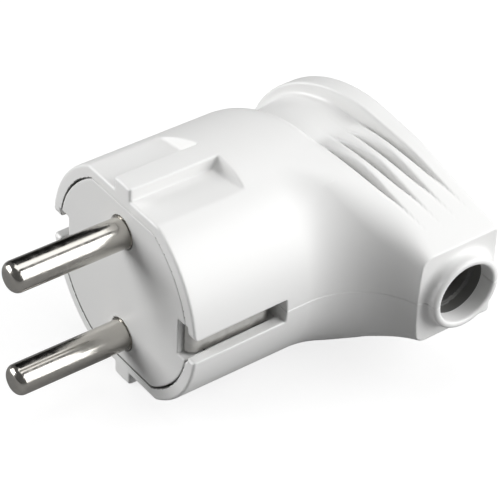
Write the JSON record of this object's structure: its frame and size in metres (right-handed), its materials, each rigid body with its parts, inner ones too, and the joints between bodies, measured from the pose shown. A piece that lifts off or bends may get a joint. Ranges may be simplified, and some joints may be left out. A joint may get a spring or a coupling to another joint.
{
  "type": "angled mains plug",
  "caption": "Right-angle rewirable round mains plug with two round pins, side earth contacts, finger neck, ribs and a side cable outlet.",
  "frame": {"origin": "centre of the engagement face, between the two pins", "axes": "-X along the pins out of the engagement face, +Z along the line of the two pins, -Y out of the cable outlet"},
  "size_m": [0.0662, 0.0481, 0.0364],
  "materials": {
    "housing_white": "fine satin white moulding",
    "carrier_grey": "light grey moulding",
    "nickel_brass": "nickel-plated turned brass",
    "zinc_steel": "zinc-plated steel",
    "brass": "bare brass"
  },
  "bodies": {
    "root": {"housing_upper": "housing_white", "housing_lower": "housing_white", "contact_carrier": "housing_white", "retaining_plate": "carrier_grey", "retaining_screw_left": "zinc_steel", "retaining_screw_right": "zinc_steel", "pin_upper": "nickel_brass", "pin_lower": "nickel_brass", "terminal_screw_upper": "zinc_steel", "terminal_screw_lower": "zinc_steel", "earth_strip": "nickel_brass", "earth_clamp_plate": "brass", "earth_washer": "zinc_steel", "earth_screw": "zinc_steel", "earth_nut": "brass", "cord_clamp": "carrier_grey", "cord_clamp_screw": "zinc_steel", "housing_screw_front": "zinc_steel", "housing_screw_arm": "zinc_steel", "housing_screw_rear": "zinc_steel"}
  },
  "joints": []
}
